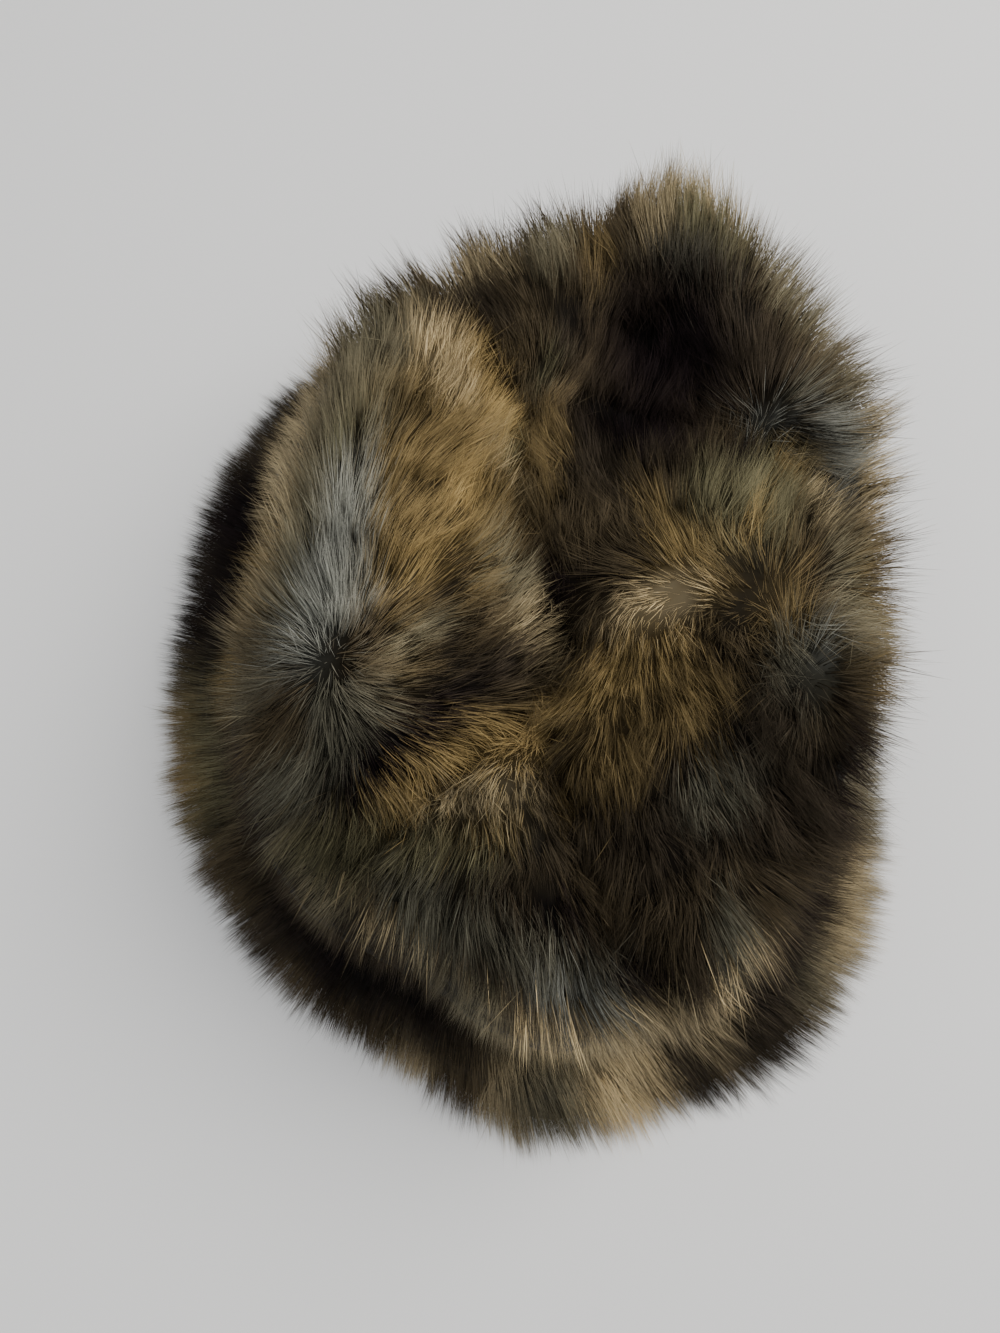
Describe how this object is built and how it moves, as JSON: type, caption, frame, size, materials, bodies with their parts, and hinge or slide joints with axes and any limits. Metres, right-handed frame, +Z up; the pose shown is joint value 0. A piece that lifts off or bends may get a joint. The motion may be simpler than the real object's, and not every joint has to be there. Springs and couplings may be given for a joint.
{
  "type": "fur bucket hat",
  "caption": "Soft faux-fur bucket hat lying crown up, with a slouched oval crown, a band and a sloping brim in mottled brown, gold and grey pile.",
  "frame": {"origin": "middle of the hat's box, on the surface that its hem rests on", "axes": "+Z up through the crown, +Y along the long way of the head opening, +X across it"},
  "size_m": [0.26, 0.3132, 0.1201],
  "materials": {
    "backing_cloth": "matt knitted backing of the faux fur, dark brown",
    "crown_pile": "deep soft pile, mottled gold, brown and grey with dark roots",
    "brim_pile": "deep soft pile, mostly dark brown and olive with tan tips"
  },
  "bodies": {
    "root": {"crown_tip": "backing_cloth", "crown_side": "backing_cloth", "brim": "backing_cloth", "crown_tip_fur": "crown_pile", "crown_side_fur": "crown_pile", "brim_fur": "brim_pile"}
  },
  "joints": []
}
